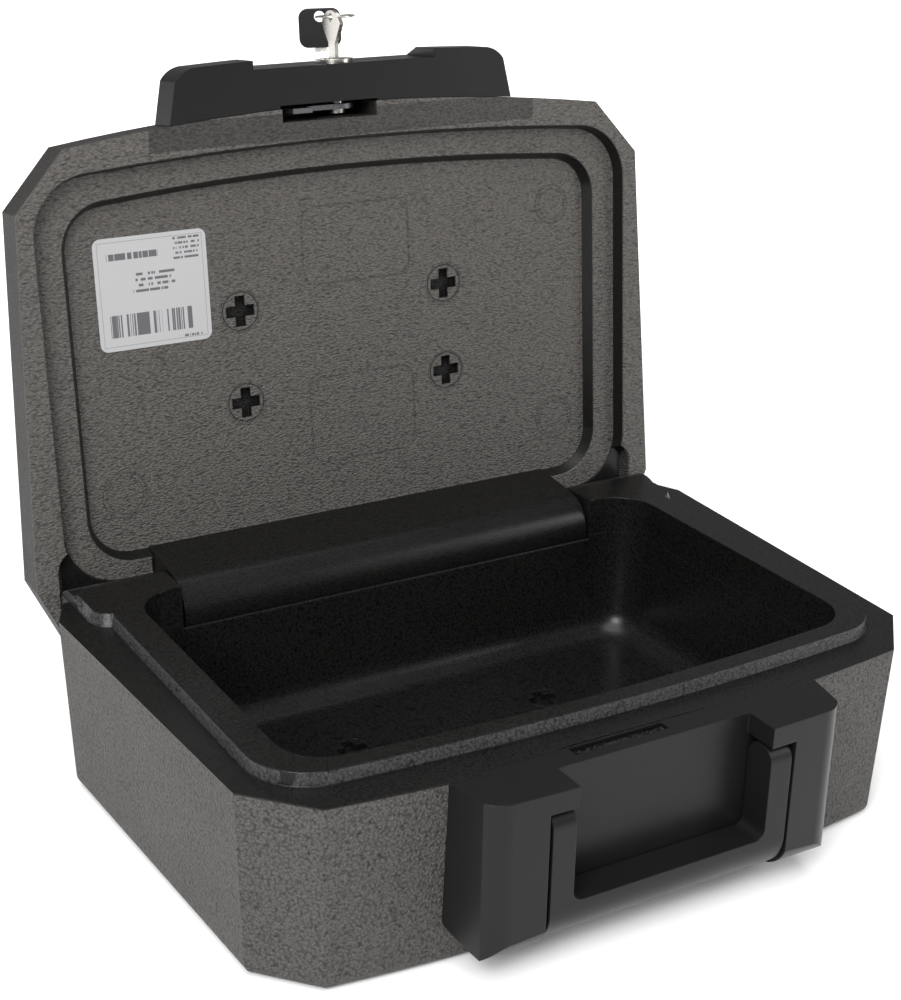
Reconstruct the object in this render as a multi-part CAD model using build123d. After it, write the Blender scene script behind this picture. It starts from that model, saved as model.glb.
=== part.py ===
from build123d import *
import os
from math import cos, radians, sin, sqrt, tan

# Fireproof document box: a double-walled base and lid filled with insulation,
# joined at the rear by a full-length hinge roll, with a key lock in a cover at
# the front of the lid and a folding carry handle in a housing on the base.
# Millimetres. X to the right, Y to the rear, Z up, Z = 0 under the base.
# Lid pieces are drawn shut and then turned open about the hinge axis.

# ------------------------------------------------------------------ body sizes
base_height = 90.3              # bottom to the parting ledge
closed_height = 155.0           # bottom to the lid's top when shut
front_half_width = 173.5
rear_half_width = 182.0
front_corner_y = -117.5         # where the bowed front meets its corner chamfers
front_bow = 10.2                # how far the front bulges past its corners
front_chamfer = (25.6, 28.0)
rear_chamfer_y = 92.0           # where the sides turn in to the rear chamfers
rear_chamfer_slope = 17.0 / 37.0
base_rear_y = 118.5
lid_rear_y = 129.0
base_draft = 2.2                # degrees
lid_draft = 2.0
wall = 3.0
lid_gap = 0.5                   # between the ledge and the lid's flange, shut
bottom_round = 7.0

# -------------------------------------------------------------- tub and ridge
tub_half_width = 146.0
tub_front_y = -89.5
tub_rear_y = 90.0
tub_corner = 22.0
tub_floor_z = 17.0
tub_draft = 3.0
tub_floor_round = 14.0
inner_bow = 8.0                 # bow of the tub, ridge and lid steps
ridge_half_width = 162.3
ridge_front_y = -100.0
ridge_corner = 30.0
ridge_height = 5.8
ridge_slope = 15.0              # degrees from upright

# ---------------------------------------------------------------------- hinge
hinge_y = 108.2
hinge_z = 77.6
open_angle = 95.4
knuckle_radius = 18.5
roll_clearance = 0.8            # round the hinge roll and round the knuckles
notch_half_width = 120.0
roll_end_gap = 1.5
knuckle_outer_x = 170.0
pad_front_y = 74.0              # the raised pads that the knuckles grow out of
pad_corner = 12.0
pad_slope = 25.0
roll_face_tilt = 11.5           # degrees from upright, when shut
hinge_pin_radius = 2.5
hinge_pin_bore = 1.2            # roll pin, so a hollow one
hinge_pin_slot = 1.0
hinge_pin_engagement = 22.0     # into each end of the roll
hinge_pin_proud = 2.6
running_gap = 0.06

# ------------------------------------------------------------------- lid steps
step_half_width = 166.0
step_front_y = -103.5
step_rear_y = 98.0
step_corner = 30.0
step_depth = 7.4
step_slope = 18.0
panel_half_width = 151.0
panel_front_y = -89.5
panel_rear_y = 88.0
panel_corner = 24.0
panel_depth = 14.0
panel_slope = 30.0
lid_knee_z = 113.0              # where the lid's wall turns in to its sloped sides
lid_side_slope = 20.0
lid_shoulder_z = 140.0          # where the sides turn in again to the crown
lid_shoulder_slope = 48.0
lid_top_round = 5.0

# ------------------------------------------------------------------ insulation
fill_gap = 0.3
plug_radius = 9.6
plug_fit = 0.05
plug_length = 6.0
plug_cross_width = 5.6
plug_cross_span = 15.6
plug_cross_depth = 4.2
plug_spacing_y = 47.1
base_plug_x = 56.0
base_plug_y = 34.0
lid_plug_x = 59.0
lid_plug_y = 18.2

# ------------------------------------------------------- front housing and cover
front_half = 96.0               # half width of the housing and cover at the wall
front_shoulder = (90.5, -143.5)
front_nose = (78.5, -149.6)
front_face_y = -151.5           # middle of the bowed front faces
front_wall = 2.5
front_seat_gap = 0.2
housing_bottom_z = 12.0
housing_bottom_round = 20.0
housing_corner_round = 16.0
housing_tongue_half = 80.0
housing_tongue_back_y = -121.6
housing_tongue_thickness = 2.0
recess_half_width = 49.5
recess_back_y = -134.0
recess_low_z = 33.0             # below this the recess is a little deeper
recess_low_back_y = -130.4
arm_pocket_half_width = 63.0
arm_pocket_top_z = 80.6
cover_straight_height = 19.0
cover_height = 31.0
cover_slope = 22.0
cover_recess_half = 50.0
cover_recess_y = -146.6
cover_stud_radius = 2.6
cover_stud_x = (45.0, 82.0)
cover_stud_z = 101.0
cover_stud_tip_y = -116.0

# ---------------------------------------------------------------------- handle
handle_pivot_y = -142.6
handle_pivot_z = 71.8
arm_inner_x = 50.0
arm_width = 11.3
arm_radius = 7.7                # round top end, and half the arm's depth
bar_top_z = 35.5
bar_inner_round = 5.0
bar_back_y = -134.6
handle_pin_radius = 2.5
handle_pin_in_arm = 8.0
handle_pin_in_cheek = 5.0
housing_screw_x = 56.5
housing_screw_z = (26.0, 56.0)
screw_radius = 2.0
screw_head_radius = 3.8
screw_head_height = 2.4
screw_length = 15.0
screw_boss_radius = 4.5

# ------------------------------------------------------------------------ lock
lock_x = 1.0
lock_z = 106.0
lock_face_y = -148.2
lock_bezel_radius = 9.5
lock_body_radius = 7.9
lock_body_back_y = -129.6
lock_nut_flats = 21.0
lock_nut_thickness = 3.0
plug_turn_radius = 5.4
plug_stub_radius = 3.6
keyway_width = 2.2
keyway_height = 7.4
keyway_depth = 17.0
hook_y = -125.5                 # middle of the hook plate
hook_thickness = 2.5
hook_hub_radius = 8.6
hook_reach = 34.0
hook_beak_x = 14.4
hook_arm = (-5.0, 7.0)
hook_clear_z = 85.6             # top of the beak when the hook is down
hook_angle = 90.0
hook_screw_radius = 3.4
hook_screw_height = 2.4
slot_x = (-37.0, 10.6)
slot_y = (-128.4, -122.7)
latch_pocket_back_y = -120.6
latch_pocket_z = 70.6
latch_pocket_right_x = 24.0
strike_right_x = 35.0
strike_thickness = 1.9
lid_pocket_x = (-36.0, 16.0)
lid_pocket_top_z = 118.5

# ------------------------------------------------------------------------ keys
key_thickness = 2.0
key_blade_height = 7.0
key_blade_length = 16.0
key_shoulder = 8.0              # from the lock's face to the bow
key_bow_width = 20.0
key_bow_length = 15.5
key_hole_radius = 2.0
key_hole_inset = 3.4            # from the bow's top end
ring_radius = 9.45
ring_wire_radius = 0.55
ring_centre = (6.5, 113.5)
spare_hole = (2.0, 122.0)
spare_turn = 30.0               # how far the spare key's head is turned about Y
spare_head = (21.0, 19.0, 3.4)
spare_hole_radius = 2.7
spare_hole_inset = 4.0
spare_blade = (6.0, 1.6)
spare_slot_depth = 3.0

# ----------------------------------------------------------------------- label
label_size = (58.5, 55.0)
label_centre = (-104.4, -45.1)
label_corner = 4.0
label_thickness = 0.25

parting_z = base_height + lid_gap
past_front_y = 170.0            # cuts start here, well in front of the box
panel_z = parting_z + panel_depth
roll_half_length = notch_half_width - roll_end_gap
roll_radius = knuckle_radius
knuckle_top_z = hinge_z + knuckle_radius


# =============================================================== shape helpers
def bowed_panel(half_width, front, rear, corner, bow):
    """Round-cornered panel whose front side bulges by bow."""
    front_edge = ThreePointArc((-half_width, front), (0, front - bow), (half_width, front))
    sides = Polyline((half_width, front), (half_width, rear), (-half_width, rear), (-half_width, front))
    face = make_face(front_edge + sides)
    return fillet(face.vertices(), corner)


def body_outline(rear, inset=0.0):
    """The body seen from above: bowed front, chamfered corners."""
    half_front = front_half_width - front_chamfer[0]
    rear_half = rear_half_width - (rear - rear_chamfer_y) * rear_chamfer_slope
    side_y = front_corner_y + front_chamfer[1]
    front_edge = ThreePointArc((-half_front, front_corner_y), (0, front_corner_y - front_bow),
                               (half_front, front_corner_y))
    sides = Polyline((half_front, front_corner_y), (front_half_width, side_y),
                     (rear_half_width, rear_chamfer_y), (rear_half, rear), (-rear_half, rear),
                     (-rear_half_width, rear_chamfer_y), (-front_half_width, side_y),
                     (-half_front, front_corner_y))
    face = make_face(front_edge + sides)
    return offset(face, amount=-inset, kind=Kind.INTERSECTION) if inset else face


def prism(face, z_from, z_to, taper=0.0):
    """Extrude a flat face up or down from one height to another, narrowing by taper."""
    face = Pos(0, 0, z_from) * face.face()
    faces_up = face.normal_at().Z > 0
    if faces_up != (z_to > z_from):
        face = -face
    return extrude(face, amount=abs(z_to - z_from), taper=taper)


def block(x, y, z):
    """Box between two limits on each axis."""
    size = [limits[1] - limits[0] for limits in (x, y, z)]
    middle = [sum(limits) / 2 for limits in (x, y, z)]
    return Pos(*middle) * Box(*size)


def rod_x(radius, x_from, x_to, y, z):
    """Round rod along X."""
    return Pos((x_from + x_to) / 2, y, z) * Rot(0, 90, 0) * Cylinder(radius, abs(x_to - x_from))


def rod_y(radius, y_from, y_to, x, z):
    """Round rod along Y."""
    return Pos(x, (y_from + y_to) / 2, z) * Rot(90, 0, 0) * Cylinder(radius, abs(y_to - y_from))


def both_sides(shape):
    """The shape and its mirror image on the other side of the box."""
    return shape + mirror(shape, about=Plane.YZ)


def opened(shape):
    """Turn a lid piece from shut to fully open about the hinge axis."""
    return shape.rotate(Axis((0, hinge_y, hinge_z), (1, 0, 0)), -open_angle)


def write(name, shape):
    """Write one node's solids to its STEP file."""
    solids = shape.solids()
    node = solids[0] if len(solids) == 1 else Compound(children=solids)
    node.label = name
    export_step(node, os.path.join("parts", name + ".step"))


# ======================================================================= base
def tub(grow=0.0):
    """The storage space; grown, it bounds the insulation round it."""
    top = knuckle_top_z + 5
    slope_out = (top - base_height) * tan(radians(tub_draft))
    spread = grow + slope_out
    face = bowed_panel(tub_half_width + spread, tub_front_y - spread, tub_rear_y + spread,
                       tub_corner + spread, inner_bow)
    space = prism(face, top, tub_floor_z - grow, tub_draft)
    return fillet(space.faces().sort_by(Axis.Z)[0].edges(), tub_floor_round)


def base_body(inset=0.0):
    """Outer form of the base below the ledge, or a form inset in it."""
    return prism(body_outline(base_rear_y, inset), base_height - inset, inset, base_draft)


def knuckle_pads(grow=0.0):
    """The raised pads at the rear corners and the knuckles they run into."""
    inner = notch_half_width - grow
    outer = knuckle_outer_x + grow
    height = knuckle_top_z - base_height + grow
    foot = make_face(Polyline((inner, pad_front_y - grow), (outer, pad_front_y - grow), (outer, hinge_y),
                              (inner, hinge_y), (inner, pad_front_y - grow)))
    foot = fillet(foot.vertices().group_by(Axis.Y)[0].sort_by(Axis.X)[-1], pad_corner)
    pad = prism(foot, base_height - 1, base_height)
    pad += prism(foot, base_height, base_height + height, pad_slope)
    pad += block((inner, outer - pad_corner / 2), (pad_front_y + pad_corner / 2, hinge_y),
                 (base_height - 1, base_height + height))
    pad += rod_x(knuckle_radius + grow, inner, outer, hinge_y, hinge_z)
    return both_sides(pad)


def hinge_notch():
    """Room for the hinge roll in the base's rear wall."""
    radius = roll_radius + roll_clearance
    notch = rod_x(radius, -notch_half_width, notch_half_width, hinge_y, hinge_z)
    notch += block((-notch_half_width, notch_half_width), (hinge_y - radius, base_rear_y + 20),
                   (hinge_z, knuckle_top_z + 10))
    return notch


def rear_relief():
    """Rounds the ledge's rear ends, so that the lid's cheeks can swing past them."""
    reach = base_height - hinge_z
    corner = block((knuckle_outer_x, rear_half_width + 5), (hinge_y, base_rear_y + 5),
                   (hinge_z, base_height + 1))
    return both_sides(corner - rod_x(reach, knuckle_outer_x - 1, rear_half_width + 6, hinge_y, hinge_z))


def latch_pocket(grow=0.0):
    """Niche in the base's front wall where the hook comes down."""
    pocket = block((slot_x[0] - 2 - grow, latch_pocket_right_x + grow), (-135, latch_pocket_back_y + grow),
                   (latch_pocket_z - grow, base_height + 1))
    seat_z = base_height - housing_tongue_thickness - strike_thickness
    pocket += block((slot_x[1], strike_right_x + grow + 0.2), (-135, latch_pocket_back_y + grow),
                    (seat_z - grow, base_height + 1))
    return pocket


def tongue_seat():
    """Shallow seat in the ledge for the back edge of the housing's top."""
    return block((-housing_tongue_half - front_seat_gap, housing_tongue_half + front_seat_gap),
                 (-140, housing_tongue_back_y + front_seat_gap),
                 (base_height - housing_tongue_thickness, base_height + 1))


def base_plug_places():
    return [(sx * base_plug_x, base_plug_y - row * plug_spacing_y) for sx in (-1, 1) for row in (0, 1)]


def housing_screw_places():
    return [(sx * housing_screw_x, z) for sx in (-1, 1) for z in housing_screw_z]


def base_cavity(inset):
    """Space between the base's walls, inset from every skin surface."""
    space = base_body(inset)
    space -= tub(inset)
    space -= rod_x(roll_radius + roll_clearance + inset, -notch_half_width - inset, notch_half_width + inset,
                   hinge_y, hinge_z)
    space -= block((-notch_half_width - inset, notch_half_width + inset),
                   (hinge_y - roll_radius - roll_clearance - inset, base_rear_y + 5), (hinge_z, base_height + 1))
    space -= latch_pocket(inset)
    space -= block((-rear_half_width, rear_half_width), (hinge_y - knuckle_radius / 2, base_rear_y + 5),
                   (hinge_z - knuckle_radius / 2, base_height + 1))
    for x, z in housing_screw_places():
        space -= rod_y(screw_boss_radius + inset - wall, -135, housing_screw_tip_y() + wall + inset, x, z)
    return space


def housing_screw_tip_y():
    return recess_low_back_y + screw_length


def make_base_shell():
    shell = base_body()
    shell = fillet(shell.faces().sort_by(Axis.Z)[0].edges(), bottom_round)
    ridge = bowed_panel(ridge_half_width, ridge_front_y, hinge_y - 8, ridge_corner, inner_bow)
    shell += prism(ridge, base_height - 1, base_height)
    shell += prism(ridge, base_height, base_height + ridge_height, ridge_slope)
    shell += knuckle_pads()
    shell -= tub()
    shell -= hinge_notch()
    shell -= rear_relief()
    shell -= latch_pocket()
    shell -= tongue_seat()
    shell -= base_cavity(wall)
    for x, y in base_plug_places():
        shell -= Pos(x, y, tub_floor_z) * Cylinder(plug_radius + plug_fit, 4 * wall)
    for x, z in housing_screw_places():
        shell -= rod_y(screw_radius, -140, housing_screw_tip_y(), x, z)
    shell -= both_sides(rod_x(hinge_pin_radius, notch_half_width - 1, knuckle_outer_x + 10, hinge_y, hinge_z))
    return shell


def make_base_insulation():
    fill = base_cavity(wall + fill_gap)
    for x, y in base_plug_places():
        fill -= Pos(x, y, tub_floor_z) * Cylinder(plug_radius + fill_gap, 2 * (plug_length + fill_gap))
    return fill.solids().sort_by(SortBy.VOLUME)[-1]


def fill_plug():
    """Round plug with a cross recess; its face is at Z = 0 and it reaches down."""
    body = Pos(0, 0, -plug_length / 2) * Cylinder(plug_radius, plug_length)
    cross = Box(plug_cross_span, plug_cross_width, 2 * plug_cross_depth)
    cross += Box(plug_cross_width, plug_cross_span, 2 * plug_cross_depth)
    return body - cross


# ==================================================================== housing
def front_outline(inset=0.0):
    """Seen from above, the bowed shape that the housing and the lock cover share."""
    shoulder_x, shoulder_y = front_shoulder
    nose_x, nose_y = front_nose
    middle_x = (shoulder_x + nose_x) / 2 + 1.0
    middle_y = (shoulder_y + nose_y) / 2 - 1.4
    back_y = front_corner_y + 8
    left = Polyline((-front_half, back_y), (-front_half, front_corner_y), (-shoulder_x, shoulder_y))
    left_nose = ThreePointArc((-shoulder_x, shoulder_y), (-middle_x, middle_y), (-nose_x, nose_y))
    face_arc = ThreePointArc((-nose_x, nose_y), (0, front_face_y), (nose_x, nose_y))
    right_nose = ThreePointArc((nose_x, nose_y), (middle_x, middle_y), (shoulder_x, shoulder_y))
    right = Polyline((shoulder_x, shoulder_y), (front_half, front_corner_y), (front_half, back_y),
                     (-front_half, back_y))
    face = make_face(left + left_nose + face_arc + right_nose + right)
    return offset(face, amount=-inset, kind=Kind.INTERSECTION) if inset else face


def housing_form(inset=0.0):
    """Outer form of the housing: rounded under the front and at its lower corners."""
    low = housing_bottom_z + inset
    front = front_face_y + inset
    side_view = Polyline((-110, base_height + 2), (-110, low), (front + housing_bottom_round, low))
    curve = CenterArc((front + housing_bottom_round, low + housing_bottom_round), housing_bottom_round, 180, 90)
    up = Polyline((front, low + housing_bottom_round), (front, base_height + 2), (-110, base_height + 2))
    side_face = make_face(side_view + curve + up)
    width = front_half - inset
    profile = extrude(Plane.YZ * side_face, amount=width, both=True)
    front_face = Rectangle(2 * width, base_height + 20 - low)
    front_face = fillet(front_face.vertices().group_by(Axis.Y)[0], housing_corner_round)
    upright = Plane.XZ * Pos(0, (base_height + 20 + low) / 2)
    front_view = extrude(upright * front_face, amount=past_front_y)
    return profile & front_view


def make_handle_housing():
    body = prism(front_outline(), 0, base_height) & housing_form()
    wall_cut = prism(body_outline(base_rear_y, -front_seat_gap), base_height, 0, base_draft)
    tongue = block((-housing_tongue_half, housing_tongue_half), (-132, housing_tongue_back_y),
                   (base_height - housing_tongue_thickness + 0.02, base_height))
    body -= wall_cut
    body += tongue
    # recess for the hand, deeper near the bottom
    body -= block((-recess_half_width, recess_half_width), (-past_front_y, recess_back_y), (0, base_height + 1))
    body -= block((-recess_half_width, recess_half_width), (-past_front_y, recess_low_back_y),
                  (0, recess_low_z))
    # pockets for the handle's arms
    body -= both_sides(block((recess_half_width - 1, arm_pocket_half_width), (-past_front_y, recess_back_y),
                             (0, arm_pocket_top_z)))
    body -= both_sides(block((recess_half_width - 1, arm_pocket_half_width), (-past_front_y, recess_low_back_y),
                             (0, recess_low_z)))
    # hollow cheeks, open towards the base
    hollow = prism(front_outline(front_wall), 0, base_height - front_wall) & housing_form(front_wall)
    cheek = block((arm_pocket_half_width + front_wall + 1, front_half - front_wall), (-149 + front_wall, -110),
                  (housing_bottom_z, base_height - front_wall))
    body -= hollow & both_sides(cheek)
    # slot for the hook and holes for the pins and screws
    body -= block(slot_x, slot_y, (base_height - 10, base_height + 1))
    body -= block((slot_x[0] - 2, strike_right_x + 0.2), (slot_y[0] - 0.4, -110), (latch_pocket_z, base_height
                  - housing_tongue_thickness))
    body -= both_sides(rod_x(handle_pin_radius + running_gap, arm_pocket_half_width - 1,
                             arm_pocket_half_width + front_wall + 2, handle_pivot_y, handle_pivot_z))
    for x, z in housing_screw_places():
        body -= rod_y(screw_radius + 0.2, -160, -110, x, z)
        body -= rod_y(screw_head_radius + 0.3, -160, screw_head_seat_y(z), x, z)
    return body


def screw_head_seat_y(z):
    """Bottom of each screw's counterbore, a little way into the housing's back wall."""
    return (recess_low_back_y if z < recess_low_z else recess_back_y) + 2.0


def make_housing_screws():
    screws = []
    for x, z in housing_screw_places():
        seat = screw_head_seat_y(z)
        screw = rod_y(screw_radius, seat, housing_screw_tip_y() - 1, x, z)
        head = rod_y(screw_head_radius, seat - screw_head_height + 0.6, seat, x, z)
        cross = Pos(x, seat - screw_head_height + 0.6, z) * (Box(4.4, 2.4, 1.0) + Box(1.0, 2.4, 4.4))
        screws.append(screw + head - cross)
    return Compound(children=screws)


def make_carry_handle():
    arm_outer_x = arm_inner_x + arm_width
    front = handle_pivot_y - arm_radius
    low = housing_bottom_z + 0.8
    arm = block((arm_inner_x, arm_outer_x), (front, front + 2 * arm_radius), (low, handle_pivot_z))
    arm += rod_x(arm_radius, arm_inner_x, arm_outer_x, handle_pivot_y, handle_pivot_z)
    bar = block((-arm_outer_x, arm_outer_x), (front, bar_back_y), (low, bar_top_z))
    handle = both_sides(arm) + bar
    # the bar's underside follows the housing's rounded bottom
    radius = housing_bottom_round
    corner = block((-arm_outer_x - 1, arm_outer_x + 1), (front - 5, front + radius), (low - 5, low + radius))
    corner -= rod_x(radius, -arm_outer_x - 2, arm_outer_x + 2, front + radius, low + radius)
    handle -= corner
    inner = handle.edges().filter_by(Axis.Y).filter_by_position(Axis.Z, bar_top_z - 0.1, bar_top_z + 0.1)
    handle = fillet(inner, bar_inner_round)
    handle -= both_sides(rod_x(handle_pin_radius, arm_outer_x - handle_pin_in_arm, arm_outer_x + 1,
                               handle_pivot_y, handle_pivot_z))
    return handle


def make_handle_pins():
    outer = arm_pocket_half_width + handle_pin_in_cheek
    inner = arm_inner_x + arm_width - handle_pin_in_arm
    pin = rod_x(handle_pin_radius, inner, outer, handle_pivot_y, handle_pivot_z)
    return both_sides(pin)


def make_strike_plate():
    seat_z = base_height - housing_tongue_thickness - strike_thickness
    return block((slot_x[1], strike_right_x), (slot_y[0], latch_pocket_back_y - 0.2),
                 (seat_z, seat_z + strike_thickness - 0.02))


# ======================================================================== lid
def lid_body(inset=0.0, low=None):
    """Outer form of the lid, shut: an upright wall, then sides that slope in twice to the crown."""
    low = parting_z + inset if low is None else low
    knee_in = inset + (lid_knee_z - parting_z) * tan(radians(lid_draft))
    shoulder_in = knee_in + (lid_shoulder_z - lid_knee_z) * tan(radians(lid_side_slope))
    body = prism(body_outline(lid_rear_y, inset), low, lid_knee_z, lid_draft)
    body += prism(body_outline(lid_rear_y, knee_in), lid_knee_z, lid_shoulder_z, lid_side_slope)
    return body + prism(body_outline(lid_rear_y, shoulder_in), lid_shoulder_z, closed_height - inset,
                        lid_shoulder_slope)


def hinge_roll(shrink=0.0, half_length=None):
    """The roll that joins the lid to the pins, with its slanted face."""
    half = half_length or roll_half_length
    radius = roll_radius - shrink
    tilt = radians(roll_face_tilt)
    touch = (hinge_y - radius * cos(tilt), hinge_z - radius * sin(tilt))
    top_y = touch[0] - (panel_z + 4 - touch[1]) * tan(tilt)
    outline = Polyline(touch, (top_y, panel_z + 4), (hinge_y, panel_z + 4), (hinge_y, hinge_z), touch)
    wedge = extrude(Plane.YZ * make_face(outline), amount=half, both=True)
    return wedge + rod_x(radius, -half, half, hinge_y, hinge_z)


def lid_steps(grow=0.0):
    """The stepped recess in the lid's underside; grown, it bounds the insulation."""
    low = parting_z - 1
    first = bowed_panel(step_half_width + grow, step_front_y - grow, step_rear_y + grow, step_corner + grow,
                        inner_bow)
    recess = prism(first, low, parting_z)
    recess += prism(first, parting_z, parting_z + step_depth + grow, step_slope)
    second = bowed_panel(panel_half_width + grow, panel_front_y - grow, panel_rear_y + grow, panel_corner + grow,
                         inner_bow)
    recess += prism(second, parting_z, parting_z + step_depth + grow)
    recess += prism(second, parting_z + step_depth + grow, panel_z + grow, panel_slope)
    return recess


def lid_pocket(grow=0.0):
    """Niche in the lid's front wall for the hook and the back of the lock."""
    return block((lid_pocket_x[0] - grow, lid_pocket_x[1] + grow), (-140, latch_pocket_back_y + grow),
                 (parting_z - 5, lid_pocket_top_z + grow))


def lid_plug_places():
    return [(sx * lid_plug_x, lid_plug_y - row * plug_spacing_y) for sx in (-1, 1) for row in (0, 1)]


def lid_cavity(inset):
    space = lid_body(inset)
    space -= lid_steps(inset)
    space += hinge_roll(inset, roll_half_length - hinge_pin_engagement)
    space -= knuckle_pads(roll_clearance + inset)
    space -= lid_pocket(inset)
    for x in cover_stud_places():
        space -= rod_y(cover_stud_radius + inset, -140, cover_stud_tip_y + inset, x, cover_stud_z)
    return space


def make_lid_shell():
    shell = lid_body()
    shell = fillet(shell.faces().sort_by(Axis.Z)[-1].edges(), lid_top_round)
    shell -= lid_steps()
    shell += hinge_roll() - block((-200, 200), (0, 200), (panel_z + 3, 200))
    shell -= knuckle_pads(roll_clearance)
    shell -= lid_pocket()
    shell -= lid_cavity(wall)
    for x, y in lid_plug_places():
        shell -= Pos(x, y, panel_z) * Cylinder(plug_radius + plug_fit, 4 * wall)
    shell -= both_sides(rod_x(hinge_pin_radius + running_gap, roll_half_length - hinge_pin_engagement + 1,
                              roll_half_length + 1, hinge_y, hinge_z))
    for x in cover_stud_places():
        shell -= rod_y(cover_stud_radius + 0.1, -140, cover_stud_tip_y, x, cover_stud_z)
    return opened(shell)


def make_lid_insulation():
    fill = lid_cavity(wall + fill_gap)
    for x, y in lid_plug_places():
        fill -= Pos(x, y, panel_z) * Cylinder(plug_radius + fill_gap, 2 * (plug_length + fill_gap))
    return opened(fill.solids().sort_by(SortBy.VOLUME)[-1])


def cover_stud_places():
    return [sx * x for sx in (-1, 1) for x in cover_stud_x]


def cover_form(inset=0.0):
    """The lock cover's block: straight sides, then sides that slope in to a flat top."""
    knee = parting_z + cover_straight_height
    form = prism(front_outline(inset), parting_z + inset, knee)
    return form + prism(front_outline(inset), knee, parting_z + cover_height - inset, cover_slope)


def make_lock_cover():
    hollow = cover_form(front_wall)
    hollow -= block((-cover_recess_half - front_wall, cover_recess_half + front_wall),
                    (front_face_y, cover_recess_y + front_wall), (0, closed_height))
    body = cover_form() - hollow - lid_body(-front_seat_gap, parting_z - 1)
    for x in cover_stud_places():
        stud = rod_y(cover_stud_radius, front_face_y, cover_stud_tip_y - fill_gap, x, cover_stud_z)
        body += cover_form() & stud
    body -= block((-cover_recess_half, cover_recess_half), (front_face_y - 1, cover_recess_y),
                  (0, closed_height))
    body -= rod_y(lock_body_radius + plug_fit, front_face_y, cover_recess_y + 2 * front_wall, lock_x, lock_z)
    body -= block((slot_x[0], slot_x[1] + 6), (slot_y[0] - 0.3, front_corner_y),
                  (0, parting_z + front_wall + 1))
    return opened(body)


# ======================================================================= lock
def make_lock_body():
    body = rod_y(lock_body_radius, cover_recess_y, lock_body_back_y, lock_x, lock_z)
    body += rod_y(lock_bezel_radius, lock_face_y, cover_recess_y, lock_x, lock_z)
    body -= rod_y(plug_turn_radius + running_gap, lock_face_y - 1, lock_body_back_y + 1, lock_x, lock_z)
    return opened(body)


def make_lock_nut():
    back = cover_recess_y + front_wall
    hexagon = RegularPolygon(lock_nut_flats / sqrt(3), 6)
    nut = Pos(lock_x, back, lock_z) * Rot(90, 0, 0) * extrude(hexagon, amount=-lock_nut_thickness)
    nut -= rod_y(lock_body_radius + 0.02, back - 1, back + lock_nut_thickness + 1, lock_x, lock_z)
    return opened(nut)


def make_lock_plug():
    plug = rod_y(plug_turn_radius, lock_face_y + 0.4, lock_body_back_y + 0.6, lock_x, lock_z)
    plug += rod_y(plug_stub_radius, lock_body_back_y, hook_y + hook_thickness / 2, lock_x, lock_z)
    plug -= Pos(lock_x, lock_face_y + 0.4, lock_z) * Box(keyway_width, 2 * keyway_depth, keyway_height)
    return opened(plug)


def hook_down():
    """The hook plate in its locked position, as a face in the XZ plane about the lock axis."""
    drop = lock_z - hook_clear_z
    arm = Polyline((hook_arm[0], 0), (hook_arm[0], -hook_reach), (hook_beak_x, -hook_reach), (hook_beak_x, -drop),
                   (hook_arm[1], -drop), (hook_arm[1], 0), (hook_arm[0], 0))
    shape = (make_face(arm) & Circle(hook_reach)) + Circle(hook_hub_radius)
    return shape - Circle(plug_stub_radius + 0.02)


def make_latch_hook():
    plate = extrude(hook_down(), amount=hook_thickness / 2, both=True)
    plate = Pos(lock_x, hook_y, lock_z) * Rot(0, hook_angle, 0) * Rot(90, 0, 0) * plate
    return opened(plate)


def make_hook_screw():
    front = hook_y + hook_thickness / 2
    return opened(rod_y(hook_screw_radius + 0.8, front, front + hook_screw_height, lock_x, lock_z))


# ======================================================================= keys
def make_key():
    face = lock_face_y + 0.4
    blade_end = face + key_blade_length
    bow_start = face - key_shoulder
    bow_end = bow_start - key_bow_length
    half_blade = key_blade_height / 2
    half_bow = key_bow_width / 2
    outline = Polyline((blade_end, 0), (blade_end - 2, half_blade), (bow_start, half_blade))
    flare = ThreePointArc((bow_start, half_blade), (bow_start - 5.5, half_bow - 2.4), (bow_start - 9, half_bow))
    crown = ThreePointArc((bow_start - 9, half_bow), (bow_end, 0), (bow_start - 9, -half_bow))
    flare_back = ThreePointArc((bow_start - 9, -half_bow), (bow_start - 5.5, -half_bow + 2.4),
                               (bow_start, -half_blade))
    back = Polyline((bow_start, -half_blade), (blade_end - 2, -half_blade), (blade_end, 0))
    face_shape = make_face(outline + flare + crown + flare_back + back)
    face_shape -= Pos(bow_end + key_hole_inset, 0) * Circle(key_hole_radius)
    plate = extrude(Plane.YZ * face_shape, amount=key_thickness / 2, both=True)
    return opened(Pos(lock_x, 0, lock_z) * plate)


def ring_y():
    return lock_face_y + 0.4 - key_shoulder - key_bow_length + key_hole_inset


def make_key_ring():
    ring = Pos(ring_centre[0], ring_y(), ring_centre[1]) * Rot(90, 0, 0) * Torus(ring_radius, ring_wire_radius)
    return opened(ring)


def spare_placed(shape):
    """Put a piece of the spare key, drawn flat about its hole, on the ring."""
    return Pos(spare_hole[0], ring_y(), spare_hole[1]) * Rot(0, spare_turn, 0) * shape


def make_spare_head():
    width, length, thickness = spare_head
    head = Rectangle(width, length)
    head = fillet(head.vertices(), 4.5)
    head -= Pos(0, -length / 2 + spare_hole_inset) * Circle(spare_hole_radius)
    plate = extrude(head, amount=thickness / 2, both=True)
    plate = Pos(0, length / 2 - spare_hole_inset, 0) * plate
    slot_y_from = length - spare_hole_inset - spare_slot_depth
    plate -= Pos(0, slot_y_from + 5, 0) * Box(spare_blade[0] + 0.04, 10, spare_blade[1] + 0.04)
    return opened(spare_placed(plate))


def make_spare_blade():
    start = spare_head[1] - spare_hole_inset - spare_slot_depth + 0.02
    length = 5.0
    blade = Pos(0, start + length / 2, 0) * Box(spare_blade[0], length, spare_blade[1])
    return opened(spare_placed(blade))


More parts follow.
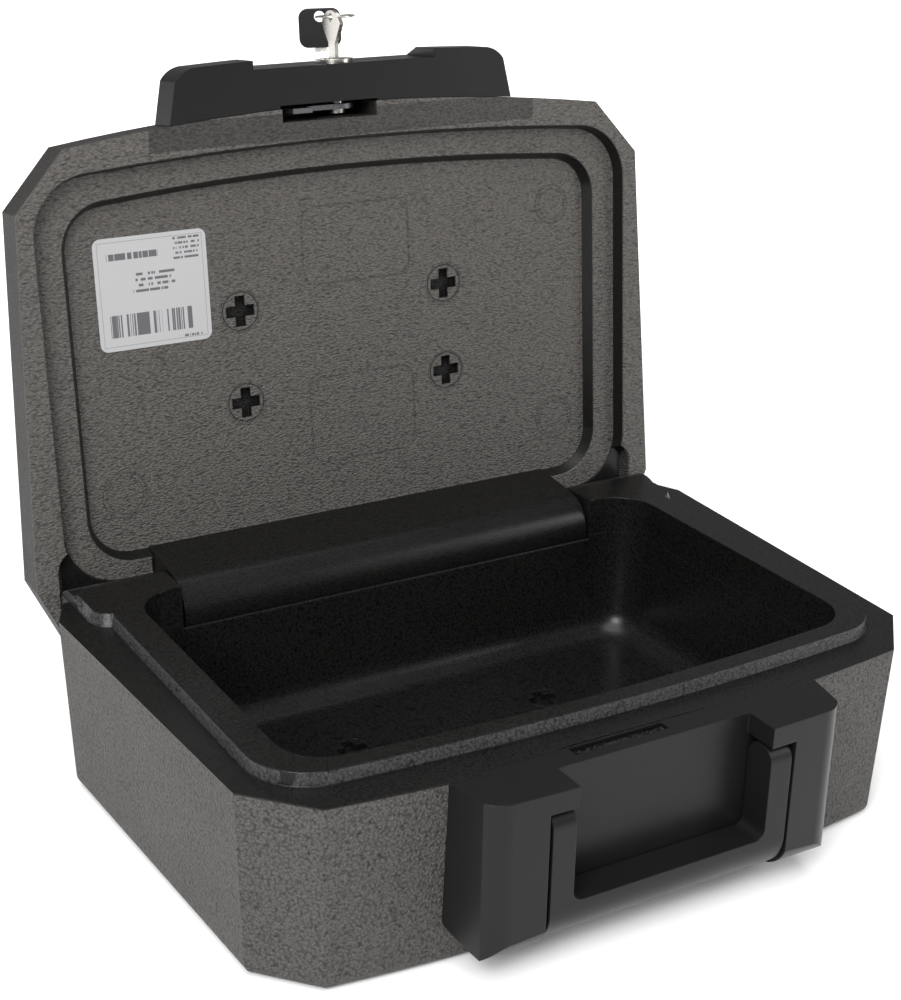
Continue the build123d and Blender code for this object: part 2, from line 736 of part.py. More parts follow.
# ================================================================ other pieces
def hinge_pin(side):
    inner = roll_half_length - hinge_pin_engagement + 1.5
    outer = knuckle_outer_x + hinge_pin_proud
    pin = rod_x(hinge_pin_radius, inner, outer, hinge_y, hinge_z)
    pin -= rod_x(hinge_pin_bore, inner - 1, outer + 1, hinge_y, hinge_z)
    pin -= block((inner - 1, outer + 1), (hinge_y, hinge_y + 5), (hinge_z - hinge_pin_slot / 2,
                                                                   hinge_z + hinge_pin_slot / 2))
    return pin if side > 0 else mirror(pin, about=Plane.YZ)


def make_rating_label():
    face = RectangleRounded(*label_size, label_corner)
    plate = extrude(face, amount=label_thickness)
    return opened(Pos(label_centre[0], label_centre[1], panel_z - label_thickness - 0.01) * plate)


def main():
    os.makedirs("parts", exist_ok=True)
    write("base_shell", make_base_shell())
    write("base_insulation", make_base_insulation())
    for number, (x, y) in enumerate(base_plug_places(), 1):
        write(f"base_fill_plug_{number}", Pos(x, y, tub_floor_z) * fill_plug())
    write("handle_housing", make_handle_housing())
    write("housing_screws", make_housing_screws())
    write("strike_plate", make_strike_plate())
    write("carry_handle", make_carry_handle())
    write("handle_pins", make_handle_pins())
    write("hinge_pin_left", hinge_pin(-1))
    write("hinge_pin_right", hinge_pin(1))
    write("lid_shell", make_lid_shell())
    write("lid_insulation", make_lid_insulation())
    for number, (x, y) in enumerate(lid_plug_places(), 1):
        write(f"lid_fill_plug_{number}", opened(Pos(x, y, panel_z) * Rot(180, 0, 0) * fill_plug()))
    write("rating_label", make_rating_label())
    write("lock_cover", make_lock_cover())
    write("lock_body", make_lock_body())
    write("lock_nut", make_lock_nut())
    write("lock_plug", make_lock_plug())
    write("latch_hook", make_latch_hook())
    write("hook_screw", make_hook_screw())
    write("key", make_key())
    write("key_ring", make_key_ring())
    write("spare_key_head", make_spare_head())
    write("spare_key_blade", make_spare_blade())


main()
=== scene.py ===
# %% [markdown]
# # Fireproof document box
# The box stands open on a pale floor: a thick double-walled base with a black
# tub, a lid held by a full-length hinge roll, a carry handle and a keyed lock.
# The solid parts arrive finished in shape, so this lesson gives them their
# plastics and metals, and adds the small moulded and printed details on top.

# %% Load the solid parts
from math import cos, radians, sin

import bpy
from mathutils import Matrix, Quaternion, Vector


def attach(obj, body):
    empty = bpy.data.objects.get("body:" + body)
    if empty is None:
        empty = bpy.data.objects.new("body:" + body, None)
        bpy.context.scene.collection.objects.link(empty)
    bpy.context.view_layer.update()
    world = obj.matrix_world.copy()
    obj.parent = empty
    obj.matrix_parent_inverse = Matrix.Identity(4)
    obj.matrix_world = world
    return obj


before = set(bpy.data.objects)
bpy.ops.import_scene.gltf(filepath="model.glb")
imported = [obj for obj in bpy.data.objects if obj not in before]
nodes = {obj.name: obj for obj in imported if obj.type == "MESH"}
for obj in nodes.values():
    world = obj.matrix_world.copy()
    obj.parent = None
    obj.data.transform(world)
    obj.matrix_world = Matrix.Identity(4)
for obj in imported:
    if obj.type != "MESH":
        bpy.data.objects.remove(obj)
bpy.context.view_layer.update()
MM = 0.001
print("loaded", len(nodes), "solid parts")

# %% [markdown]
# ## The view
# A product picture is taken with a longish lens from above the front left
# corner. The lens is shifted a little, as on a studio camera, so that the box
# sits where it should in the frame while the uprights stay nearly upright.

# %% Camera
camera_place = Vector((-0.4192, -0.6622, 0.4639))
look_at = Vector((-0.0283, 0.0284, 0.1253))
camera_data = bpy.data.cameras.new("camera")
camera_data.lens = 65.3
camera_data.shift_x = 0.0418
camera_data.shift_y = 0.0406
camera = bpy.data.objects.new("camera", camera_data)
bpy.context.scene.collection.objects.link(camera)
roll = Quaternion((0, 0, 1), radians(0.6))
camera.location = camera_place
camera.rotation_euler = ((look_at - camera_place).to_track_quat("-Z", "Y") @ roll).to_euler()
bpy.context.scene.camera = camera
print("camera", round((look_at - camera_place).length, 3), "m from the box")

# %% [markdown]
# ## Light and floor
# Dark plastic shows itself mostly by what it reflects, so the lamps are big
# and soft. One from the front left brings out the moulded grain on the walls,
# one above draws the long soft lines on the rim, and a weak one fills the right.
# A broad, even light from overhead keeps the shadows soft.
# The floor is white paper that glows a little far from the box, like the lit
# sweep of a studio, so it stays white to the horizon.

# %% Floor and lamps
def soft_lamp(name, place, target, size, power):
    data = bpy.data.lights.new(name, "AREA")
    data.shape = "RECTANGLE"
    data.size, data.size_y = size
    data.energy = power
    lamp = bpy.data.objects.new(name, data)
    bpy.context.scene.collection.objects.link(lamp)
    lamp.location = place
    lamp.rotation_euler = (Vector(target) - Vector(place)).to_track_quat("-Z", "Y").to_euler()
    return lamp


soft_lamp("key_lamp", (-1.3, -1.2, 1.3), (0, 0, 0.1), (0.9, 0.9), 40)
soft_lamp("top_lamp", (0.0, 0.7, 1.9), (0, 0, 0.1), (1.8, 0.8), 12)
soft_lamp("right_lamp", (1.5, -1.2, 0.8), (0, 0, 0.1), (0.6, 1.1), 14)

even_light = bpy.data.lights.new("even_light", "SUN")
even_light.energy = 2.2
even_light.angle = radians(50)
even_lamp = bpy.data.objects.new("even_light", even_light)
bpy.context.scene.collection.objects.link(even_lamp)
even_lamp.rotation_euler = (radians(18), radians(-14), 0)

world = bpy.data.worlds.new("studio")
bpy.context.scene.world = world
world.use_nodes = True
sky = world.node_tree
backdrop, dim_room = sky.nodes["Background"], sky.nodes.new("ShaderNodeBackground")
backdrop.inputs["Color"].default_value = (1, 1, 1, 1)
dim_room.inputs["Color"].default_value = (1, 1, 1, 1)
dim_room.inputs["Strength"].default_value = 0.22
seen = sky.nodes.new("ShaderNodeLightPath").outputs["Is Camera Ray"]
pick = sky.nodes.new("ShaderNodeMixShader")
sky.links.new(seen, pick.inputs[0])
sky.links.new(dim_room.outputs[0], pick.inputs[1])
sky.links.new(backdrop.outputs[0], pick.inputs[2])
sky.links.new(pick.outputs[0], sky.nodes["World Output"].inputs["Surface"])
bpy.context.scene.view_settings.view_transform = "Standard"

GLOW_FROM, GLOW_TO, GLOW_MOST = 0.5, 1.7, 0.7    # metres from the box, and strength
bpy.ops.mesh.primitive_plane_add(size=12)
floor = bpy.context.object
floor.name = "floor"
floor_paint = bpy.data.materials.new("pale_floor")
floor_paint.use_nodes = True
paper_shader = floor_paint.node_tree.nodes["Principled BSDF"]
paper_shader.inputs["Base Color"].default_value = (0.95, 0.95, 0.95, 1)
paper_shader.inputs["Roughness"].default_value = 0.7
paper_shader.inputs["Emission Color"].default_value = (1, 1, 1, 1)
floor_nodes, floor_links = floor_paint.node_tree.nodes, floor_paint.node_tree.links
here_on_floor = floor_nodes.new("ShaderNodeNewGeometry").outputs["Position"]
away = floor_nodes.new("ShaderNodeVectorMath")
away.operation = "LENGTH"
floor_links.new(here_on_floor, away.inputs[0])
glow = floor_nodes.new("ShaderNodeMapRange")
for socket, value in zip(glow.inputs[1:5], (GLOW_FROM, GLOW_TO, 0.0, GLOW_MOST)):
    socket.default_value = value
floor_links.new(away.outputs["Value"], glow.inputs["Value"])
floor_links.new(glow.outputs[0], paper_shader.inputs["Emission Strength"])
floor.data.materials.append(floor_paint)
print("four lamps and a floor")

# %% [markdown]
# ## Building finishes from nodes
# Each finish is a small network of nodes. Writing every link by hand is slow to
# read, so short helpers do it. *put* places a node and fills its sockets,
# *maths* places one sum, *new_group* and *use* make a shared group and place
# it, and *new_material* starts a material with its shader.

# %% Node helpers
def put(tree, kind, sockets=None, **settings):
    """Place a node; a socket given as another node's output is linked, else set."""
    made = tree.nodes.new("ShaderNode" + kind)
    for name, value in settings.items():
        setattr(made, name, value)
    for name, value in (sockets or {}).items():
        if isinstance(value, bpy.types.NodeSocket):
            tree.links.new(value, made.inputs[name])
        else:
            made.inputs[name].default_value = value
    return made


def maths(tree, operation, a, b=0.0, clamp=False):
    made = put(tree, "Math", {0: a, 1: b}, operation=operation, use_clamp=clamp)
    return made.outputs[0]


def new_group(name, inputs, outputs):
    """A shader node group with named float, vector or colour sockets."""
    tree = bpy.data.node_groups.new(name, "ShaderNodeTree")
    for title, kind, value in inputs:
        socket = tree.interface.new_socket(title, in_out="INPUT", socket_type="NodeSocket" + kind)
        if value is not None:
            socket.default_value = value
    for title, kind in outputs:
        tree.interface.new_socket(title, in_out="OUTPUT", socket_type="NodeSocket" + kind)
    start = tree.nodes.new("NodeGroupInput")
    end = tree.nodes.new("NodeGroupOutput")
    return tree, start.outputs, end.inputs


def use(tree, group, sockets):
    made = tree.nodes.new("ShaderNodeGroup")
    made.node_tree = group
    for name, value in sockets.items():
        if isinstance(value, bpy.types.NodeSocket):
            tree.links.new(value, made.inputs[name])
        else:
            made.inputs[name].default_value = value
    return made.outputs


def new_material(name, **shader_values):
    material = bpy.data.materials.new(name)
    material.use_nodes = True
    tree = material.node_tree
    shader = tree.nodes["Principled BSDF"]
    for socket, value in shader_values.items():
        shader.inputs[socket.replace("_", " ")].default_value = value
    return material, tree, shader


print("helpers ready")

# %% [markdown]
# ## Effects that several finishes share
# *Between* says whether a value lies between two limits, which is how one
# moulding can be grained outside and smooth inside: the mould itself changes
# there. *Moulded grain* is the pebbled skin that a textured mould leaves, a
# cell pattern softened by noise. *Handling marks* are the faint cloudy changes
# of gloss that every plastic picks up.

# %% Shared groups
between, given, result = new_group(
    "Between",
    [("Value", "Float", 0.0), ("Low", "Float", 0.0), ("High", "Float", 1.0),
     ("Soft", "Float", 0.0002)],
    [("Inside", "Float")])
above_low = maths(between, "ADD", maths(between, "DIVIDE", maths(
    between, "SUBTRACT", given["Value"], given["Low"]), given["Soft"]), 0.5, clamp=True)
below_high = maths(between, "ADD", maths(between, "DIVIDE", maths(
    between, "SUBTRACT", given["High"], given["Value"]), given["Soft"]), 0.5, clamp=True)
between.links.new(maths(between, "MULTIPLY", above_low, below_high), result["Inside"])

grain, given, result = new_group(
    "Moulded grain",
    [("Vector", "Vector", None), ("Pebble", "Float", 1200.0)],
    [("Height", "Float"), ("Speckle", "Float")])
wobble = put(grain, "TexNoise", {"Vector": given["Vector"], "Scale": 420.0, "Detail": 2.0})
pushed = put(grain, "VectorMath", {0: given["Vector"]}, operation="ADD")
small_push = put(grain, "VectorMath", {0: wobble.outputs["Color"], "Scale": 0.0009},
                 operation="SCALE")
grain.links.new(small_push.outputs[0], pushed.inputs[1])
cells = put(grain, "TexVoronoi", {"Vector": pushed.outputs[0], "Scale": given["Pebble"]},
            feature="SMOOTH_F1")
cells.inputs["Smoothness"].default_value = 0.6
fine = put(grain, "TexNoise", {"Vector": given["Vector"], "Scale": 2600.0, "Detail": 3.0})
grain.links.new(maths(grain, "ADD", maths(grain, "MULTIPLY", cells.outputs["Distance"], -1.0),
                      maths(grain, "MULTIPLY", fine.outputs[0], 0.35)), result["Height"])
grain.links.new(maths(grain, "ADD", maths(grain, "MULTIPLY", cells.outputs["Distance"], -1.1),
                      maths(grain, "ADD", 0.35, fine.outputs[0])), result["Speckle"])

marks, given, result = new_group(
    "Handling marks",
    [("Vector", "Vector", None), ("Size", "Float", 30.0)],
    [("Gloss change", "Float")])
clouds = put(marks, "TexNoise", {"Vector": given["Vector"], "Scale": given["Size"], "Detail": 5.0,
                                 "Roughness": 0.62})
marks.links.new(maths(marks, "SUBTRACT", clouds.outputs[0], 0.5), result["Gloss change"])
print("groups:", [g.name for g in bpy.data.node_groups])

# %% [markdown]
# ## Reading places on the box
# A pattern on the lid is easiest to describe as if the lid were shut. The lid
# is drawn standing open, so its coordinates are first turned back about the
# hinge with a Mapping node.

# %% Coordinates
HINGE = Vector((0, 0.1082, 0.0776))
OPEN_ANGLE = radians(95.4)


def own_place(tree):
    return put(tree, "TexCoord").outputs["Object"]


def shut_place(tree):
    turn = Matrix.Rotation(OPEN_ANGLE, 3, "X")
    made = put(tree, "Mapping", {"Vector": own_place(tree), "Rotation": (OPEN_ANGLE, 0, 0),
                                 "Location": HINGE - turn @ HINGE})
    return made.outputs[0]


def region(tree, place, x=None, y=None, z=None, soft=0.0004):
    """1 inside the limits given in millimetres, 0 outside."""
    axes = put(tree, "SeparateXYZ", {0: place}).outputs
    inside = None
    for axis, limits in zip(axes, (x, y, z)):
        if limits is None:
            continue
        part = use(tree, between, {"Value": axis, "Low": limits[0] * MM, "High": limits[1] * MM,
                                   "Soft": soft})[0]
        inside = part if inside is None else maths(tree, "MULTIPLY", inside, part)
    return inside


def either(tree, *masks):
    whole = masks[0]
    for mask in masks[1:]:
        whole = maths(tree, "MAXIMUM", whole, mask)
    return whole


def without(tree, mask, hole):
    return maths(tree, "MULTIPLY", mask, maths(tree, "SUBTRACT", 1.0, hole))


def blend(tree, mask, smooth, rough):
    """Mix two colours or two plain values by a mask."""
    if isinstance(smooth, tuple):
        made = put(tree, "Mix", {0: mask}, data_type="RGBA")
        made.inputs[6].default_value, made.inputs[7].default_value = smooth, rough
        return made.outputs[2]
    return put(tree, "Mix", {0: mask, 2: smooth, 3: rough}, data_type="FLOAT").outputs[0]


print("hinge at", tuple(HINGE))

# %% [markdown]
# ## The shell plastic
# Base and lid are blow-moulded in one dark grey plastic. Where the mould was
# textured the skin is pebbled and looks lighter, because each pebble catches
# light. Where parts slide or seal the mould was polished: the rim, the tub and
# the walls of the lid's steps look nearly black and softly shiny.

# %% Shell finish
GRAINED_BASE = (0.056, 0.052, 0.049, 1)
GRAINED_LID = (0.074, 0.069, 0.064, 1)
POLISHED = (0.0062, 0.0060, 0.0058, 1)
# Painted sheen: the slanted side of the ridge is painted lighter than the polished rim.
RIDGE_SHEEN_GREY = (0.034, 0.033, 0.034, 1)
LINE_GREY = (0.02, 0.02, 0.02, 1)
# Painted shade: the lid's outer walls and top are painted darker than its grained panel.
OUTSIDE_SHADE_GREY = (0.024, 0.022, 0.021, 1)
# Painted shade: the bottoms of the plug sockets are painted near black.
SOCKET_SHADE_BLACK = (0.003, 0.003, 0.003, 1)
GRAIN_SLANT = radians(38)

# Limits on the shut lid, in millimetres.
STEPS_X, STEPS_Y = (-167.5, 167.5), (-113.5, 99)
ROLL_X, ROLL_Y, ROLL_Z = (-119.5, 119.5), (79, 131), (40, 104.2)
# The lid's outer chamfers: which way they face, and how far out they lie in metres.
CHAMFER_FACES_X, CHAMFER_FACES_Y, CHAMFER_OUT = 0.738, 0.675, 0.1835


def shell_finish(name, place_of, grained, pebble, contrast, stretch, grained_where, *zones):
    """Grained plastic; each zone is a place and the colour that it takes instead."""
    material, tree, shader = new_material(name, Specular_IOR_Level=0.26)
    place = place_of(tree)
    mask = grained_where(tree, place)
    slanted = put(tree, "Mapping", {"Vector": place, "Rotation": (0, 0, GRAIN_SLANT),
                                    "Scale": stretch})
    pebbles = use(tree, grain, {"Vector": slanted.outputs[0], "Pebble": pebble})
    cloud = use(tree, marks, {"Vector": place, "Size": 26.0})[0]
    colour = blend(tree, mask, POLISHED, grained)
    for where, paint in zones:
        made = put(tree, "Mix", {0: where(tree, place)}, data_type="RGBA")
        tree.links.new(colour, made.inputs[6])
        made.inputs[7].default_value = paint
        colour = made.outputs[2]
    speckled = put(tree, "HueSaturation", {"Color": colour, "Value": maths(
        tree, "ADD", 0.94 - contrast / 3, maths(tree, "MULTIPLY", pebbles["Speckle"], contrast))})
    tree.links.new(speckled.outputs[0], shader.inputs["Base Color"])
    gloss = maths(tree, "ADD", blend(tree, mask, 0.30, 0.55), maths(tree, "MULTIPLY", cloud, 0.16))
    tree.links.new(gloss, shader.inputs["Roughness"])
    softened = put(tree, "Bevel", {"Radius": 0.0009}, samples=4)
    height = maths(tree, "MULTIPLY", pebbles["Height"], maths(tree, "ADD", 0.04, mask))
    bump = put(tree, "Bump", {"Height": height, "Distance": 0.0006, "Strength": 1.0,
                              "Normal": softened.outputs[0]})
    tree.links.new(bump.outputs[0], shader.inputs["Normal"])
    return material


def base_grain(tree, place):
    walls = region(tree, place, z=(-10, 89.7))
    tub = region(tree, place, x=(-155, 155), y=(-104, 104), z=(12, 120))
    notch = region(tree, place, x=(-121, 121), y=(86, 140), z=(57.5, 120))
    return without(tree, walls, either(tree, tub, notch))


def ridge_side_sheen(tree, place):
    """The slanted side of the ridge, painted lighter grey as a painted sheen where it faces the
    light above.
    """
    band = region(tree, place, z=(90.6, 95.8))
    return without(tree, band, region(tree, place, x=(-154, 154), y=(-96, 130), z=(80, 120)))


def mould_line(tree, place):
    """The faint line round the wall where two halves of the mould met."""
    return maths(tree, "MULTIPLY", 0.5, region(tree, place, z=(75.8, 76.1), soft=0.0002))


def inside_corners(tree, place):
    """Off in the lid's outer corner chamfers, which stand inside the steps' box."""
    axes = put(tree, "SeparateXYZ", {0: place}).outputs
    sideways = maths(tree, "MULTIPLY", maths(tree, "ABSOLUTE", axes[0]), CHAMFER_FACES_X)
    forwards = maths(tree, "MULTIPLY", axes[1], CHAMFER_FACES_Y)
    reach = maths(tree, "SUBTRACT", sideways, forwards)
    return maths(tree, "LESS_THAN", reach, CHAMFER_OUT)


def lid_grain(tree, place):
    steps_box = region(tree, place, x=STEPS_X, y=STEPS_Y, z=(91.4, 105.6))
    inner = maths(tree, "MULTIPLY", steps_box, inside_corners(tree, place))
    levels = either(tree, region(tree, place, z=(97.7, 98.7)),
                    region(tree, place, z=(104.3, 105.6)))
    roll_part = region(tree, place, x=ROLL_X, y=ROLL_Y, z=ROLL_Z)
    pad = region(tree, place, x=(-106, 108), y=(-125, -112), z=(90, 91.4))
    black = either(tree, without(tree, inner, levels), roll_part,
                   maths(tree, "MULTIPLY", pad, 0.6))
    return maths(tree, "SUBTRACT", 1.0, black)


def lid_cross_shade(tree, place):
    """The bottoms of the cross-shaped sockets in the fill plugs, painted black as the shade deep
    inside them.
    """
    return region(tree, place, x=(-75, 75), y=(-45, 35), z=(105.8, 112))


def lid_outside_shade(tree, place):
    """The lid's outer walls and top, everything behind the flange face, painted darker grey as
    painted shade.
    """
    outer = region(tree, place, z=(92, 400))
    steps_box = region(tree, place, x=STEPS_X, y=STEPS_Y, z=(80, 112))
    hollow = maths(tree, "MULTIPLY", steps_box, inside_corners(tree, place))
    roll_part = region(tree, place, x=ROLL_X, y=ROLL_Y, z=ROLL_Z)
    return without(tree, outer, either(tree, hollow, roll_part))


base_plastic = shell_finish(
    "base_plastic", own_place, GRAINED_BASE, 800.0, 1.5, (1, 1, 1), base_grain,
    (ridge_side_sheen, RIDGE_SHEEN_GREY), (mould_line, LINE_GREY))
lid_plastic = shell_finish(
    "lid_plastic", shut_place, GRAINED_LID, 900.0, 1.15, (0.6, 1.3, 1), lid_grain,
    (lid_outside_shade, OUTSIDE_SHADE_GREY), (lid_cross_shade, SOCKET_SHADE_BLACK))
print("shell finishes made")

# %% [markdown]
# ## The smooth black plastic
# The handle, its housing and the lock cover are injection moulded in a finer,
# blacker plastic with a satin skin. It has hardly any grain, so soft lamp
# reflections slide over it; fine noise keeps them from looking like glass.

# %% Black finish
def black_finish(name, colour, gloss):
    material, tree, shader = new_material(name, Base_Color=colour, Specular_IOR_Level=0.2)
    place = own_place(tree)
    cloud = use(tree, marks, {"Vector": place, "Size": 45.0})[0]
    tree.links.new(maths(tree, "ADD", gloss, maths(tree, "MULTIPLY", cloud, 0.14)),
                   shader.inputs["Roughness"])
    softened = put(tree, "Bevel", {"Radius": 0.0008}, samples=4)
    tiny = put(tree, "TexNoise", {"Vector": place, "Scale": 3800.0, "Detail": 2.0})
    bump = put(tree, "Bump", {"Height": tiny.outputs[0], "Distance": 0.00003, "Strength": 0.8,
                              "Normal": softened.outputs[0]})
    tree.links.new(bump.outputs[0], shader.inputs["Normal"])
    return material


black_plastic = black_finish("black_plastic", (0.0072, 0.0070, 0.0075, 1), 0.32)
key_head_plastic = black_finish("key_head_plastic", (0.010, 0.010, 0.011, 1), 0.30)
print("black finishes made")

# %% [markdown]
# ## Metals and insulation
# Keys and lock are nickel plated, with fine polishing lines. The screws and
# pins are plain zinc-plated steel, duller and a little yellow, and the hook's
# steel is painted dark, a painted shade, since hardly any of it shines in its slot.
# The cast filling between the walls is never seen; it gets a chalky grey.

# %% Metal and filling finishes
def metal_finish(name, colour, gloss, line_stretch):
    material, tree, shader = new_material(name, Base_Color=colour, Metallic=1.0)
    place = own_place(tree)
    drawn_out = put(tree, "Mapping", {"Vector": place, "Scale": line_stretch})
    lines = put(tree, "TexNoise", {"Vector": drawn_out.outputs[0], "Scale": 900.0, "Detail": 4.0})
    line_gloss = maths(tree, "MULTIPLY", lines.outputs[0], 0.16)
    tree.links.new(maths(tree, "ADD", gloss - 0.08, line_gloss), shader.inputs["Roughness"])
    softened = put(tree, "Bevel", {"Radius": 0.0003}, samples=4)
    bump = put(tree, "Bump", {"Height": lines.outputs[0], "Distance": 0.00001, "Strength": 0.5,
                              "Normal": softened.outputs[0]})
    tree.links.new(bump.outputs[0], shader.inputs["Normal"])
    return material


nickel = metal_finish("nickel", (0.62, 0.60, 0.56, 1), 0.26, (1, 0.1, 1))
steel = metal_finish("plated_steel", (0.52, 0.51, 0.48, 1), 0.38, (0.15, 1, 1))
# Painted shade: the hook's steel gets a dark colour for the shade of its slot.
shaded_hook_steel = metal_finish("shaded_hook_steel", (0.11, 0.11, 0.115, 1), 0.42, (0.15, 1, 1))
filling, filling_tree, filling_shader = new_material("cast_filling", Roughness=0.95)
chalk = put(filling_tree, "TexNoise", {"Vector": own_place(filling_tree), "Scale": 160.0,
                                       "Detail": 6.0})
chalk_colour = put(filling_tree, "Mix", {0: chalk.outputs[0]}, data_type="RGBA")
chalk_colour.inputs[6].default_value = (0.34, 0.33, 0.31, 1)
chalk_colour.inputs[7].default_value = (0.46, 0.45, 0.43, 1)
filling_tree.links.new(chalk_colour.outputs[2], filling_shader.inputs["Base Color"])
print("metals and filling made")

# %% [markdown]
# ## The printed label
# A pale label is stuck inside the lid. Its print is made in the finish: rows
# of small blocks stand for lines of small type and a row of bars for a stock
# code, so nothing can be read. Each row is one region, broken up by noise that
# only changes along the row.

# %% Label finish
LABEL_LEFT, LABEL_LOW = -133.65, -17.6
PRINT_EDGE = 0.00008
BORDER_OUTER = {"x": (2, 56.5), "y": (2, 53)}
BORDER_INNER = {"x": (2.35, 56.15), "y": (2.35, 52.65)}

label_finish, label_tree, label_shader = new_material("label_paper", Roughness=0.38)
flat_place = put(label_tree, "Mapping", {
    "Vector": shut_place(label_tree), "Scale": (1, -1, 1),
    "Location": (-LABEL_LEFT * MM, LABEL_LOW * MM, 0)}).outputs[0]


def broken_row(u, v, pitch, fill):
    """A row of print: u and v limits in millimetres, broken into blocks along u."""
    row = region(label_tree, flat_place, x=u, y=v, soft=PRINT_EDGE)
    stretched = put(label_tree, "Mapping", {"Vector": flat_place, "Scale": (1, 0, 0),
                                            "Location": (0, v[0] * 0.37, 0)})
    blocks = put(label_tree, "TexNoise", {"Vector": stretched.outputs[0],
                                          "Scale": 1000 / pitch, "Detail": 0.0})
    inked = maths(label_tree, "GREATER_THAN", blocks.outputs[0], 1 - fill)
    return maths(label_tree, "MULTIPLY", row, inked)


middle_lines = [((19 + 1.5 * (n % 3), 41 - 2 * (n % 2)), (35.6 - 2.7 * n, 36.9 - 2.7 * n),
                 0.9, 0.56) for n in range(4)]
corner_lines = [((41 + 1.2 * (n % 2), 55), (51.0 - 2.4 * n, 52.1 - 2.4 * n), 0.8, 0.56)
                for n in range(5)]
heading, bars, stock_line = (((6.5, 33), (44.0, 47.2), 1.6, 0.62),
                             ((6, 49), (6.5, 17.5), 0.75, 0.5),
                             ((44, 54), (2.6, 3.8), 0.8, 0.56))
rows = [broken_row(*line) for line in [*middle_lines, *corner_lines, heading, bars, stock_line]]
border = without(label_tree,
                 region(label_tree, flat_place, soft=PRINT_EDGE, **BORDER_OUTER),
                 region(label_tree, flat_place, soft=PRINT_EDGE, **BORDER_INNER))
ink = either(label_tree, maths(label_tree, "MULTIPLY", border, 0.5), *rows)
paper_cloud = use(label_tree, marks, {"Vector": flat_place, "Size": 60.0})[0]
paper = put(label_tree, "Mix", {0: ink}, data_type="RGBA")
paper.inputs[6].default_value = (0.33, 0.33, 0.334, 1)
paper.inputs[7].default_value = (0.075, 0.075, 0.08, 1)
label_tree.links.new(paper.outputs[2], label_shader.inputs["Base Color"])
paper_gloss = maths(label_tree, "ADD", 0.38, maths(label_tree, "MULTIPLY", paper_cloud, 0.2))
label_tree.links.new(paper_gloss, label_shader.inputs["Roughness"])
print("label with", len(rows), "rows of print")

# %% [markdown]
# ## Putting the finishes on
# Each solid part keeps its shape and simply gets its finish.

# %% Finishes on the solid parts
finish_of = {
    "base_shell": base_plastic, "base_insulation": filling, "lid_insulation": filling,
    "lid_shell": lid_plastic, "rating_label": label_finish,
    "handle_housing": black_plastic, "carry_handle": black_plastic, "lock_cover": black_plastic,
    "housing_screws": steel, "handle_pins": steel, "strike_plate": steel, "latch_hook": shaded_hook_steel,
    "hook_screw": steel, "hinge_pin_left": steel, "hinge_pin_right": steel, "lock_nut": steel,
    "lock_body": nickel, "lock_plug": nickel, "key": nickel, "key_ring": nickel,
    "spare_key_blade": nickel, "spare_key_head": key_head_plastic,
}
for number in range(1, 5):
    finish_of[f"base_fill_plug_{number}"] = base_plastic
    finish_of[f"lid_fill_plug_{number}"] = lid_plastic
for name, finish in finish_of.items():
    part = nodes[name]
    if not part.material_slots:
        part.data.materials.append(finish)
    part.material_slots[0].material = finish
print("finishes on", len(finish_of), "parts")

# %% [markdown]
# ## Marks that the mould leaves
# Looked at closely the lid's panel is not plain: ejector pins leave fine double
# rings near its corners, and inserts leave the outline of a rounded rectangle.
# Each is a hair-thin raised line. A circle is drawn, given a second edge by
# extruding and shrinking it, and raised. The fourth corner has none, because
# the label covers it. A dark thread of a ring marks the joint round each plug.

# %% Raised rings
def start_fresh():
    bpy.ops.object.select_all(action="DESELECT")


def settle(piece):
    """Turn a lid piece open with the lid, and leave its object at the origin."""
    turn = Matrix.Rotation(-OPEN_ANGLE, 4, "X")
    swing = Matrix.Translation(HINGE) @ turn @ Matrix.Translation(-HINGE)
    piece.data.transform(swing @ piece.matrix_world)
    piece.matrix_world = Matrix.Identity(4)
    piece.data.update()


def finish_piece(piece, name, body, finish):
    settle(piece)
    piece.name = name
    piece.data.materials.clear()
    piece.data.materials.append(finish)
    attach(piece, body)
    return piece


def make_faces_outward():
    """The object being worked on is in edit mode; it is left in object mode."""
    bpy.ops.mesh.select_all(action="SELECT")
    bpy.ops.mesh.normals_make_consistent(inside=False)
    bpy.ops.object.mode_set(mode="OBJECT")


def raised_ring(radius, width, height, place):
    """A thin flat ring, raised downwards from the shut lid's panel."""
    start_fresh()
    bpy.ops.mesh.primitive_circle_add(vertices=72, radius=radius * MM, location=Vector(place) * MM)
    ring = bpy.context.object
    bpy.ops.object.mode_set(mode="EDIT")
    bpy.ops.mesh.select_all(action="SELECT")
    bpy.ops.mesh.extrude_region_move()
    shrink = (radius - width) / radius
    bpy.ops.transform.resize(value=(shrink, shrink, 1))
    bpy.ops.mesh.select_all(action="SELECT")
    bpy.ops.mesh.extrude_region_move(TRANSFORM_OT_translate={"value": (0, 0, -height * MM)})
    make_faces_outward()
    return ring


CORNER_STEPS = 8


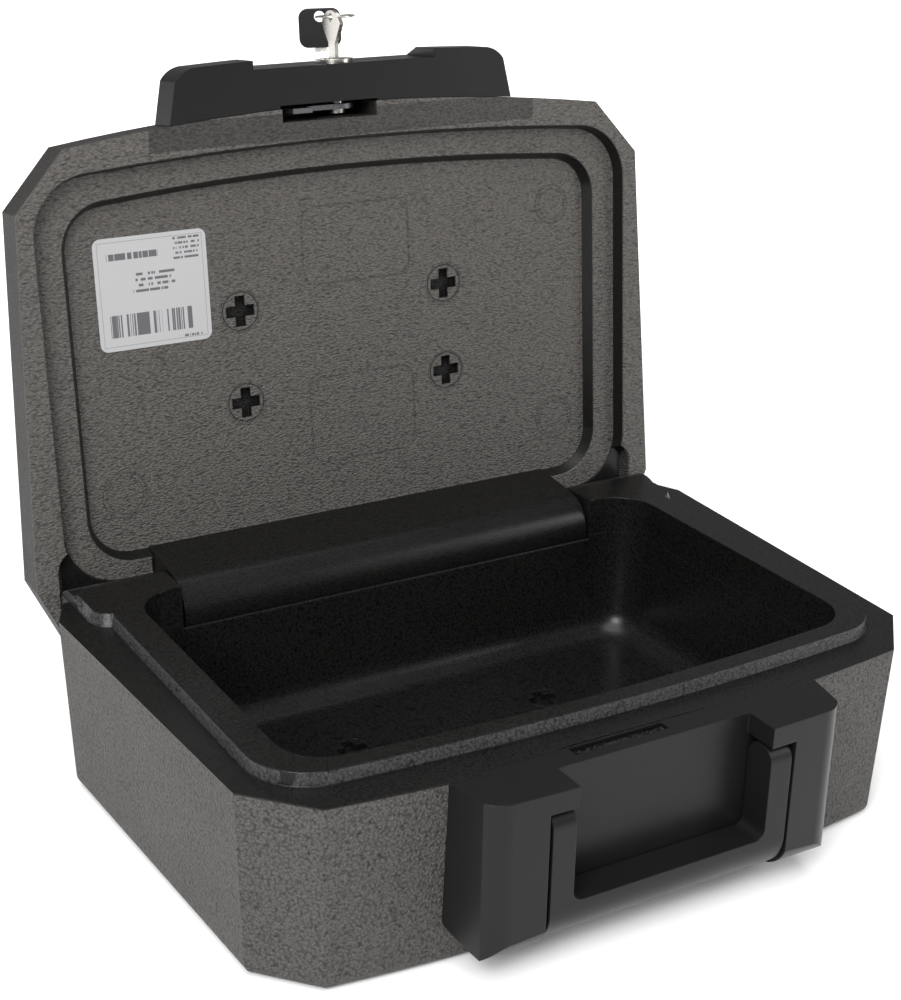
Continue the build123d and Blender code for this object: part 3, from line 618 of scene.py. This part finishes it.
def raised_outline(width, depth, corner, place, stroke, height):
    """The outline of a rounded rectangle, raised downwards from the lid's panel."""
    start_fresh()
    loops = []
    for inset in (0.0, stroke):
        half_x, half_y, bend = width / 2 - inset, depth / 2 - inset, corner - inset
        loop = []
        for number in range(4 * (CORNER_STEPS + 1)):
            quarter, step = divmod(number, CORNER_STEPS + 1)
            angle = radians(90 * quarter + 90 * step / CORNER_STEPS)
            side_x = 1 if quarter in (0, 3) else -1
            side_y = 1 if quarter in (0, 1) else -1
            loop.append((side_x * (half_x - bend) + bend * cos(angle),
                         side_y * (half_y - bend) + bend * sin(angle)))
        loops.append(loop)
    outer, inner = loops
    count = len(outer)
    corners = [Vector((place[0] + x, place[1] + y, place[2] - drop)) * MM
               for drop in (0.0, height) for loop in (outer, inner) for x, y in loop]
    top_out, top_in, low_out, low_in = 0, count, 2 * count, 3 * count
    faces = []
    for here in range(count):
        after = (here + 1) % count
        faces.append((top_out + here, top_out + after, top_in + after, top_in + here))
        faces.append((low_out + here, low_in + here, low_in + after, low_out + after))
        faces.append((top_out + here, low_out + here, low_out + after, top_out + after))
        faces.append((top_in + here, top_in + after, low_in + after, low_in + here))
    shape = bpy.data.meshes.new("outline")
    shape.from_pydata(corners, [], faces)
    shape.update()
    piece = bpy.data.objects.new("outline", shape)
    bpy.context.scene.collection.objects.link(piece)
    start_fresh()
    piece.select_set(True)
    bpy.context.view_layer.objects.active = piece
    bpy.ops.object.mode_set(mode="EDIT")
    make_faces_outward()
    return piece


def joined(pieces):
    start_fresh()
    for piece in pieces:
        piece.select_set(True)
    bpy.context.view_layer.objects.active = pieces[0]
    bpy.ops.object.join()
    return bpy.context.object


SKIN_Z = 104.8 + 0.02    # the panel of the shut lid, and a hair into it
PLUG_PLACES = [(-59, 18.2), (59, 18.2), (-59, -28.9), (59, -28.9)]

rings = []
for x, y, radius in [(-128, 55, 12.0), (128, 55, 12.0), (128, -64, 10.5)]:
    rings.append(raised_ring(radius, 0.6, 0.28, (x, y, SKIN_Z)))
    rings.append(raised_ring(radius - 2.2, 0.5, 0.22, (x, y, SKIN_Z)))
rings += [raised_ring(10.9, 0.5, 0.2, (x, y, SKIN_Z)) for x, y in PLUG_PLACES]
ejector_rings = finish_piece(joined(rings), "ejector_rings", "lid", lid_plastic)

seams = [raised_ring(9.95, 0.4, 0.08, (x, y, SKIN_Z)) for x, y in PLUG_PLACES]
finish_piece(joined(seams), "lid_plug_seams", "lid", black_plastic)

outlines = [raised_outline(62, 46, 8, (8, 34, SKIN_Z), 0.55, 0.25),
            raised_outline(62, 40, 8, (8, -57, SKIN_Z), 0.55, 0.25)]
insert_outlines = finish_piece(
    joined(outlines), "insert_outlines", "lid", lid_plastic)
marks_faces = len(ejector_rings.data.polygons) + len(insert_outlines.data.polygons)
print("mould marks:", marks_faces, "faces")
